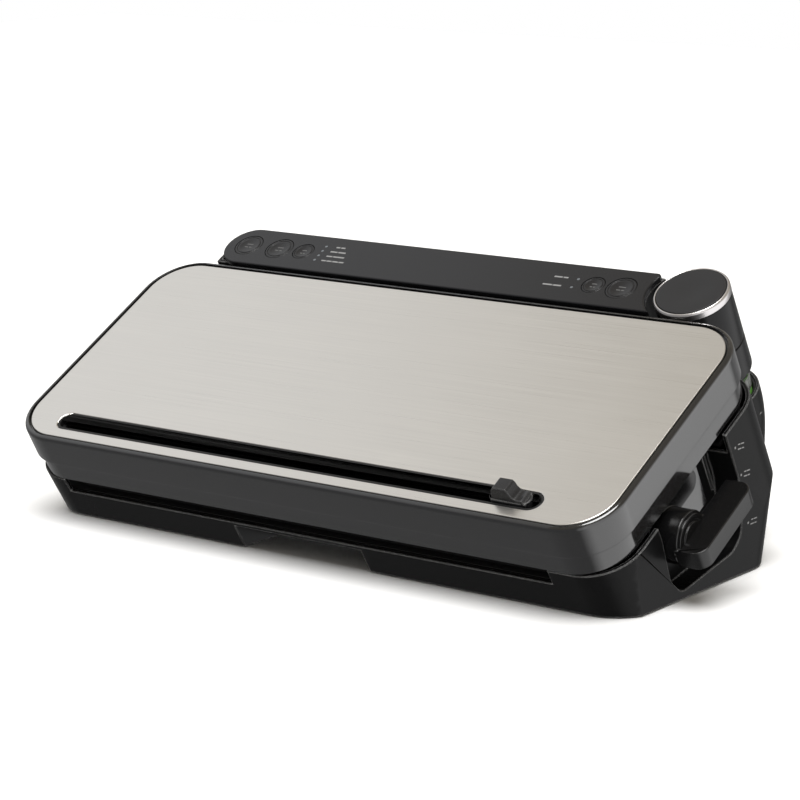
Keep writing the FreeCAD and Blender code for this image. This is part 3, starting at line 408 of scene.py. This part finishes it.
def woven_finish(name, colour):
    """Glass cloth coated for release: two crossed waves make the plain weave."""
    made, tree, shader, place = material(name)
    across = tree.nodes.new("ShaderNodeTexWave")
    across.bands_direction = "X"
    along = tree.nodes.new("ShaderNodeTexWave")
    along.bands_direction = "Y"
    for wave in (across, along):
        wave.inputs["Scale"].default_value = 550.0
        wave.inputs["Distortion"].default_value = 0.4
        tree.links.new(place, wave.inputs["Vector"])
    weave = calc(tree, "MAXIMUM", across.outputs["Fac"], along.outputs["Fac"])
    tint = placed(tree, tint_drift, place, Colour=(*colour, 1.0), Drift=0.2, Dust=0.0)
    mix = tree.nodes.new("ShaderNodeMix")
    mix.data_type = "RGBA"
    mix.blend_type = "MULTIPLY"
    mix.inputs["Factor"].default_value = 1.0
    tree.links.new(tint.outputs["Colour"], mix.inputs["A"])
    tree.links.new(span(tree, weave, 0.0, 1.0, 0.6, 1.0), mix.inputs["B"])
    tree.links.new(mix.outputs["Result"], shader.inputs["Base Color"])
    bump = tree.nodes.new("ShaderNodeBump")
    bump.inputs["Strength"].default_value = 0.4
    bump.inputs["Distance"].default_value = 0.0001
    tree.links.new(weave, bump.inputs["Height"])
    tree.links.new(bump.outputs["Normal"], shader.inputs["Normal"])
    rough = placed(tree, wipe_marks, place, Even=0.45, Spread=0.15)
    tree.links.new(rough.outputs["Roughness"], shader.inputs["Roughness"])
    return made


release_cloth = woven_finish("release cloth", (0.30, 0.17, 0.07))
finished("inner_deck", inner_black, edge=0.0004)
finished("hinge_brackets", zinc_steel, edge=0.0002)
finished("lower_gasket", soft_grey, edge=0.0008)
finished("seal_bar", inner_black, edge=0.0004)
finished("heating_strip", zinc_steel, edge=0.0)
finished("release_tape", release_cloth, edge=0.0)
finished("drip_tray", inner_black, edge=0.0003)

# ---------------------------------------------------------------- latch
# The lever is black: a round hub, a short arm and a straight thumb bar. Its steel shaft runs across the
# base in plastic bushes and turns a steel hook at each side.
lever_black = plastic_finish(
    "lever black", (0.003, 0.003, 0.0032), 0.20, 0.05, 2600.0, 0.04, 0.01, shine=0.46)
pale_plastic = plastic_finish("pale plastic", (0.60, 0.60, 0.57), 0.42, 0.08, 2200.0, 0.1)
finished("latch_lever", lever_black, edge=0.0007)
finished("latch_shaft", zinc_steel, edge=0.0002)
finished("latch_hooks", zinc_steel, edge=0.0002)
finished("latch_bushes", pale_plastic, edge=0.0002)

LEVER_V = 0.054
LEVER_N = -0.049
HUB_FACE = 0.2010


def surface(name, points, closed_turn=True):
    """Mesh from a grid of points: rows by steps round, joined into quads; poles are welded shut."""
    rows, steps = points.shape[:2]
    index = np.arange(rows * steps).reshape(rows, steps)
    after = np.roll(index, -1, axis=1) if closed_turn else index[:, 1:]
    first = index if closed_turn else index[:, :-1]
    quads = np.stack([first[:-1], after[:-1], after[1:], first[1:]], axis=-1).reshape(-1, 4)
    mesh = bpy.data.meshes.new(name)
    mesh.from_pydata(points.reshape(-1, 3).tolist(), [], quads.tolist())
    work = bmesh.new()
    work.from_mesh(mesh)
    bmesh.ops.remove_doubles(work, verts=work.verts, dist=1e-7)
    bmesh.ops.recalc_face_normals(work, faces=work.faces)
    work.to_mesh(mesh)
    work.free()
    mesh.shade_smooth()
    mesh.set_sharp_from_angle(angle=math.radians(40))
    piece = bpy.data.objects.new(name, mesh)
    bpy.context.scene.collection.objects.link(piece)
    return piece


def eased(corners, radius, steps=5):
    """Open path through the corners, each turn replaced by an arc of the radius (less on short runs).

    The arc's centre lies on the corner's bisector at r / sin(half angle); points swing between the two
    touching points around it.
    """
    path = [np.array(corners[0], float)]
    for before, corner, after in zip(corners, corners[1:], corners[2:]):
        before, corner, after = (np.array(p, float) for p in (before, corner, after))
        one = (before - corner) / np.linalg.norm(before - corner)
        two = (after - corner) / np.linalg.norm(after - corner)
        half = math.acos(np.clip(one @ two, -1, 1)) / 2
        room = 0.45 * min(np.linalg.norm(before - corner), np.linalg.norm(after - corner))
        reach = min(radius / math.tan(half), room)
        middle = corner + (one + two) / np.linalg.norm(one + two) * reach / math.cos(half)
        start = corner + one * reach - middle
        end = corner + two * reach - middle
        swing = math.acos(np.clip(start @ end / (np.linalg.norm(start) * np.linalg.norm(end)), -1, 1))
        share = np.linspace(0, 1, steps)[:, None]
        arc = (np.sin((1 - share) * swing) * start + np.sin(share * swing) * end) / math.sin(swing)
        path.extend(middle + arc)
    path.append(np.array(corners[-1], float))
    return np.array(path)


def turned_across(name, profile, v, n, steps=96):
    """Turned piece on an axis along u: profile (r, u) runs round as (u, v + r cos a, n + r sin a)."""
    radius, along = np.asarray(profile).T[:, :, None]
    angle = np.linspace(0, 2 * math.pi, steps, endpoint=False)
    return surface(name, lid_point(along, v + radius * np.cos(angle), n + radius * np.sin(angle)))


hub_cap = turned_across("lever_hub_cap", eased([
    (0.0, HUB_FACE - 0.0010), (0.0, HUB_FACE + 0.0018), (0.0086, HUB_FACE + 0.0018),
    (0.0086, HUB_FACE + 0.0010),
    (0.0098, HUB_FACE + 0.0010), (0.0098, HUB_FACE + 0.0014), (0.0126, HUB_FACE + 0.0012),
    (0.0126, HUB_FACE - 0.0010), (0.0, HUB_FACE - 0.0010)], 0.0004), LEVER_V, LEVER_N)
hub_cap.data.materials.append(lever_black)
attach(hub_cap, "latch")

# ---------------------------------------------------------------- rear housing and power inlet
# The housing behind the tub carries the control strip and runs down into a round dock. It is moulded in
# the same satin black; the two-pin socket sits in a window of its rear wall.
brass_pins = steel_finish("brass", (0.75, 0.58, 0.28), 0.25, 0.05, 0.05)
finished("rear_housing", satin_black, edge=0.0005)
finished("power_inlet", inner_black, edge=0.0003)
finished("dock_cup", inner_black, edge=0.0003)
finished("charge_contacts", brass_pins, edge=0.0002)

# ---------------------------------------------------------------- control strip
# A black strip with round keys flush in it and small lamp lenses. Pale dashes are printed beside the
# lamps and dimmer ones on the keys.
panel_black = plastic_finish(
    "panel black", (0.008, 0.008, 0.009), 0.20, 0.05, 1200.0, 0.03, 0.02, shine=0.36)
key_black = plastic_finish("key black", (0.009, 0.009, 0.010), 0.26, 0.05, 1500.0, 0.05, 0.02, shine=0.36)
finished("control_panel", panel_black, edge=0.0)
KEY_V = 0.177
KEY_TOP = 0.0002
DISH_SHARE = 0.72
KEY_STEM_N = -0.0052


def turned(name, profile, u, v, steps=96):
    """Turned piece square to the lid: profile (r, n) runs round as (u + r cos a, v + r sin a, n)."""
    radius, level = np.asarray(profile).T[:, :, None]
    angle = np.linspace(0, 2 * math.pi, steps, endpoint=False)
    return surface(name, lid_point(u + radius * np.cos(angle), v + radius * np.sin(angle), level))


def key_profile(radius):
    """Half section of a key: stem, cap, eased rim, a fine groove and a shallow finger dish."""
    dish = np.linspace(radius * DISH_SHARE, 0.0, 12)
    bowl = np.stack([dish, KEY_TOP - 0.0004 * (1 - (dish / (radius * DISH_SHARE)) ** 2)], axis=1)
    rim = eased([
        (0.0, KEY_STEM_N), (0.0020, KEY_STEM_N), (0.0020, -0.0022), (radius, -0.0022), (radius, KEY_TOP),
        (radius * 0.86, KEY_TOP), (radius * 0.86, KEY_TOP - 0.0003), (radius * 0.80, KEY_TOP - 0.0003),
        (radius * 0.80, KEY_TOP), (radius * DISH_SHARE, KEY_TOP)], 0.00025, 4)
    return np.concatenate([rim, bowl[1:]])


key_places = {}
for key in [node for node in frame["nodes"] if node.startswith("button_")]:
    low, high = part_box(key)
    key_places[key] = ((low.x + high.x) / 2 - PLATE_MIDDLE, (high.x - low.x) / 2)
    cap = turned(key + "_cap", key_profile(key_places[key][1]), key_places[key][0], KEY_V, 72)
    settle(cap, key, key_black)


def bars(name, places, thickness, material, body, point=lid_point):
    """Flat printed bars: each (u, v, length, height) gives a thin closed block, all in one mesh."""
    spots = np.array(places)
    corner = np.array([(x, y, z) for x in (-0.5, 0.5) for y in (-0.5, 0.5) for z in (0.0, 1.0)])
    u = spots[:, None, 0] + corner[None, :, 0] * spots[:, None, 2]
    v = spots[:, None, 1] + corner[None, :, 1] * spots[:, None, 3]
    n = thickness[0] + corner[None, :, 2] * (thickness[1] - thickness[0]) + 0 * u
    block = np.array([(0, 1, 3, 2), (4, 6, 7, 5), (0, 4, 5, 1), (2, 3, 7, 6), (0, 2, 6, 4), (1, 5, 7, 3)])
    faces = block[None] + 8 * np.arange(len(spots))[:, None, None]
    mesh = bpy.data.meshes.new(name)
    mesh.from_pydata(point(u, v, n).reshape(-1, 3).tolist(), [], faces.reshape(-1, 4).tolist())
    piece = bpy.data.objects.new(name, mesh)
    bpy.context.scene.collection.objects.link(piece)
    mesh.materials.append(material)
    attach(piece, body)
    return piece


def dashes(u, v, lengths, height, gap=0.0006):
    """Row of printed dashes centred on (u, v)."""
    total = sum(lengths) + gap * (len(lengths) - 1)
    start = u - total / 2
    row = []
    for length in lengths:
        row.append((start + length / 2, v, length, height))
        start += length + gap
    return row


print_grey = plastic_finish("pale print", (0.20, 0.20, 0.20), 0.55, 0.05, 2000.0, 0.05)
print_dim = plastic_finish("dim print", (0.07, 0.07, 0.07), 0.55, 0.05, 2000.0, 0.05)
PRINT = (0.00028, 0.00034)
KEY_PRINT_ROW = 0.0013
KEY_PRINT_H = 0.0008
labels = []
for row, (v, lengths) in enumerate([
        (0.1836, (0.0028, 0.0030)), (0.1794, (0.0050, 0.0052)), (0.1752, (0.0042, 0.0078)),
        (0.1710, (0.0032, 0.0034, 0.0040, 0.0034))]):
    labels += dashes(-0.0860 + 0.0008 * row, v, lengths, 0.0011)
labels += dashes(0.0660, 0.1804, (0.0052, 0.0030), 0.0011)
labels += dashes(0.0640, 0.1732, (0.0060, 0.0052), 0.0011)
bars("panel_print", labels, PRINT, print_grey, "base")
for key, (u, radius) in key_places.items():
    wide = radius * 0.5
    rows = dashes(u, KEY_V + KEY_PRINT_ROW, (wide,), KEY_PRINT_H)
    rows += dashes(u, KEY_V - KEY_PRINT_ROW, (wide * 0.62, wide * 0.5), KEY_PRINT_H)
    bars(key + "_print", rows, (-0.0003, -0.00012), print_dim, key + "_cap")


def lamp_finish():
    """Clear lamp lens with a faint inner haze and a cool glow of a lamp that is off."""
    made, tree, shader, place = material("lamp lens")
    haze = noise(tree, place, 900.0, 2.0).outputs["Fac"]
    tree.links.new(span(tree, haze, 0.3, 0.7, 0.05, 0.2), shader.inputs["Roughness"])
    tint = placed(tree, tint_drift, place, Colour=(0.10, 0.11, 0.12, 1.0), Drift=0.3, Dust=0.0)
    tree.links.new(tint.outputs["Colour"], shader.inputs["Base Color"])
    return made


finished("lamp_lenses", lamp_finish(), edge=0.0001)
board_green = plastic_finish("circuit board", (0.02, 0.10, 0.04), 0.35, 0.1, 700.0, 0.3)
finished("control_board", board_green, edge=0.0)

# ---------------------------------------------------------------- handheld sealer
# A docked hand pump in two black grip halves with a seam. A silver ring holds the matte cap key; below
# hang a clear liquid cup and a green suction seal.
HAND_U = 0.146
HAND_V = 0.181
GRIP_R = 0.0204
soft_cap = plastic_finish("soft cap", (0.013, 0.013, 0.014), 0.42, 0.06, 3500.0, 0.15, 0.03, shine=0.3)
silver_ring = steel_finish("silver ring", (0.66, 0.64, 0.64), 0.30, 0.03, 0.05)
green_seal = plastic_finish("green seal", (0.16, 0.48, 0.07), 0.50, 0.06, 2000.0, 0.1)


def hand_part(node, profile, finish):
    """Turned part on the handheld's axis in place of its node."""
    return settle(turned(node + "_turned", profile, HAND_U, HAND_V, 128), node, finish)


grip_black = plastic_finish(
    "grip black", (0.006, 0.006, 0.0065), 0.20, 0.05, 900.0, 0.03, 0.01, shine=0.22)
hand_part("hand_upper", eased([
    (0.0165, -0.0060), (0.0165, -0.0043), (GRIP_R, -0.0043), (GRIP_R, -0.03245),
    (GRIP_R - 0.0004, -0.03285),
    (0.0182, -0.03285), (0.0182, -0.0060), (0.0165, -0.0060)], 0.0003), grip_black)
hand_part("hand_lower", eased([
    (0.0060, -0.0574), (GRIP_R - 0.0050, -0.0574), (GRIP_R, -0.0520), (GRIP_R, -0.03355),
    (GRIP_R - 0.0004, -0.03315), (0.0182, -0.03315), (0.0182, -0.0550), (0.0060, -0.0550),
    (0.0060, -0.0574)], 0.0028, 8), grip_black)
hand_part("hand_ring", eased([
    (0.0191, -0.0042), (0.0206, -0.0042), (0.0206, -0.0008), (0.0199, 0.0002), (0.0193, 0.0002),
    (0.0191, -0.0001), (0.0191, -0.0042)], 0.0005), silver_ring)
cap_dish = np.linspace(0.0150, 0.0, 24)
cap_bowl = np.stack([cap_dish, 0.0005 - 0.0005 * np.cos(cap_dish / 0.0150 * math.pi / 2) ** 2], axis=1)
hand_part("hand_button", np.concatenate([eased([
    (0.0, -0.0080), (0.0050, -0.0080), (0.0050, -0.0020), (0.0188, -0.0020), (0.0188, 0.0004),
    (0.0176, 0.0005),
    (0.0150, 0.0005)], 0.0004), cap_bowl[1:]]), soft_cap)
hand_part("hand_nozzle", eased([
    (0.0025, -0.0760), (0.0090, -0.0760), (0.0090, -0.0715), (0.0150, -0.0715), (0.0164, -0.0700),
    (0.0164, -0.0662),
    (0.0049, -0.06605), (0.0049, -0.0620), (0.0025, -0.0620), (0.0025, -0.0760)], 0.0006), green_seal)


def cup_finish():
    """Clear moulded cup: glass-like, with faint moulding ripples and a slight haze."""
    made, tree, shader, place = material("clear cup")
    shader.inputs["Transmission Weight"].default_value = 0.92
    shader.inputs["IOR"].default_value = 1.49
    tint = placed(tree, tint_drift, place, Colour=(0.93, 0.95, 0.94, 1.0), Drift=0.03, Dust=0.0)
    tree.links.new(tint.outputs["Colour"], shader.inputs["Base Color"])
    rough = placed(tree, wipe_marks, place, Even=0.05, Spread=0.10)
    tree.links.new(rough.outputs["Roughness"], shader.inputs["Roughness"])
    ripple = placed(tree, mould_grain, place, Pitch=300.0, Depth=0.05)
    tree.links.new(ripple.outputs["Normal"], shader.inputs["Normal"])
    return made


hand_part("hand_reservoir", eased([
    (0.0050, -0.0660), (0.0162, -0.0660), (0.0172, -0.0650), (0.0172, -0.05755), (0.0156, -0.05755),
    (0.0156, -0.0642), (0.0050, -0.0642), (0.0050, -0.0660)], 0.0006), cup_finish())
finished("hand_motor", zinc_steel, edge=0.0004)
finished("hand_battery", pale_plastic, edge=0.0004)

# ---------------------------------------------------------------- vacuum pump and works
# Inside the base stand a small piston pump with its motor, the transformer for the heating strip, the
# release valve and two switches. A rubber hose runs from the vacuum channel to the pump head.
cast_metal = steel_finish("cast metal", (0.50, 0.50, 0.51), 0.48, 0.08, 0.1)
for node in ("pump_motor_can", "pump_rotor"):
    finished(node, zinc_steel, edge=0.0002)
for node in ("pump_crankcase", "pump_head", "transformer"):
    finished(node, cast_metal, edge=0.0003)
for node in ("pump_link", "release_valve", "pressure_switch"):
    finished(node, pale_plastic, edge=0.0002)
finished("vacuum_hose", soft_black, edge=0.0)
finished("lid_switch", inner_black, edge=0.0002)

# ---------------------------------------------------------------- lever position marks
# Printed on the tub's right wall behind the lever, three times over: a small pointer and two rows of
# dashes. The wall leans out above the table until it meets the rim.
WALL_FOOT = 0.1908
WALL_LEAN = 0.115
WALL_RIM = 0.1950


def wall_point(along, rise, out):
    """Place on the tub's right wall: along runs to the back, rise up the wall, out away from it."""
    along, rise, out = np.broadcast_arrays(along, rise, out)
    x = PLATE_MIDDLE + np.minimum(WALL_RIM, WALL_FOOT + WALL_LEAN * rise) + out
    return np.stack([x, along, rise], axis=-1)


marks = []
for along, rise in ((0.0156, 0.0709), (0.0223, 0.0557), (0.0322, 0.0286)):
    marks += [(along - 0.0012, rise, 0.0012, 0.0012)]
    for line, lengths in enumerate(((0.0022, 0.0030), (0.0034, 0.0020))):
        marks += dashes(along + 0.0045, rise + 0.0012 - 0.0024 * line, lengths, 0.0006)
bars("lever_print", marks, (-0.00004, 0.00006), print_grey, "base", wall_point)

# ---------------------------------------------------------------- table, light and camera
# A plain pale table and one broad, soft sun. The rest of the studio is a world that changes with
# direction; the camera itself sees it white.
CEILING_LEFT = (0.81, 0.815, 0.82)
CEILING_RIGHT = (0.38, 0.345, 0.285)
ROOM_FRONT = (0.26, 0.26, 0.26)
ROOM_RIGHT = (1.5, 1.5, 1.5)

view = bpy.context.scene.view_settings
view.view_transform = "Standard"
view.look = "None"

table_size = 6.0
table_mesh = bpy.data.meshes.new("table")
half = table_size / 2
table_mesh.from_pydata(
    [(-half, -half, 0), (half, -half, 0), (half, half, 0), (-half, half, 0)], [], [(0, 1, 2, 3)])
table = bpy.data.objects.new("table", table_mesh)
bpy.context.scene.collection.objects.link(table)
table_finish, table_tree, table_shader, table_place = material("pale table")
pale = noise(table_tree, table_place, 3.0, 2.0).outputs["Fac"]
table_shader.inputs["Roughness"].default_value = 0.6
ramp = table_tree.nodes.new("ShaderNodeMix")
ramp.data_type = "RGBA"
ramp.inputs["A"].default_value = (0.86, 0.86, 0.86, 1.0)
ramp.inputs["B"].default_value = (0.90, 0.90, 0.90, 1.0)
table_tree.links.new(pale, ramp.inputs["Factor"])
table_tree.links.new(ramp.outputs["Result"], table_shader.inputs["Base Color"])
table_mesh.materials.append(table_finish)
table.visible_glossy = False

world = bpy.data.worlds.new("studio")
world.use_nodes = True
sky = world.node_tree
toward = sky.nodes.new("ShaderNodeTexCoord").outputs["Generated"]
part = sky.nodes.new("ShaderNodeSeparateXYZ")
sky.links.new(toward, part.inputs["Vector"])


def blend(tree, factor, first, second):
    """Mix node between two colours, each a socket or a triple."""
    node = tree.nodes.new("ShaderNodeMix")
    node.data_type = "RGBA"
    if isinstance(factor, (int, float)):
        node.inputs["Factor"].default_value = factor
    else:
        tree.links.new(factor, node.inputs["Factor"])
    for label, colour in (("A", first), ("B", second)):
        if isinstance(colour, tuple):
            node.inputs[label].default_value = (*colour, 1.0)
        else:
            tree.links.new(colour, node.inputs[label])
    return node.outputs["Result"]


# the ceiling is lit from the left and turns warmer and dimmer to the right; the room is dim in front
# and below, and bright low down at the right and behind
ceiling = blend(sky, span(sky, part.outputs["X"], -0.58, -0.50, 0.0, 1.0), CEILING_LEFT, CEILING_RIGHT)
below = blend(sky, span(sky, part.outputs["X"], 0.30, 0.58, 0.0, 1.0), ROOM_FRONT, ROOM_RIGHT)
room = blend(sky, span(sky, part.outputs["Z"], 0.05, 0.55, 0.0, 1.0), below, ceiling)
seen = sky.nodes.new("ShaderNodeLightPath").outputs["Is Camera Ray"]
sky.links.new(blend(sky, seen, room, (1.0, 1.0, 1.0)), sky.nodes["Background"].inputs["Color"])
bpy.context.scene.world = world

sun = bpy.data.lights.new("high light", "SUN")
sun.energy = 4.2
sun.angle = math.radians(40)
high_light = bpy.data.objects.new("high light", sun)
falls_along = Vector((-0.25, 0.40, -1.0))
high_light.rotation_euler = falls_along.to_track_quat("-Z", "Y").to_euler()
bpy.context.scene.collection.objects.link(high_light)

camera = bpy.data.cameras.new("camera")
camera.sensor_width = 36.0
camera.lens = 124.38
camera.clip_start = 0.05
camera.clip_end = 50.0
viewer = bpy.data.objects.new("camera", camera)
eye = Vector((0.86375, -1.16884, 0.37760))
forward = Vector((-0.58830, 0.78252, -0.20388))
sideways = Vector((0.79943, 0.60076, -0.00096))
upwards = Vector((-0.12173, 0.16356, 0.97899))
viewer.matrix_world = Matrix((
    (sideways.x, upwards.x, -forward.x, eye.x),
    (sideways.y, upwards.y, -forward.y, eye.y),
    (sideways.z, upwards.z, -forward.z, eye.z),
    (0, 0, 0, 1),
))
bpy.context.scene.collection.objects.link(viewer)
bpy.context.scene.camera = viewer
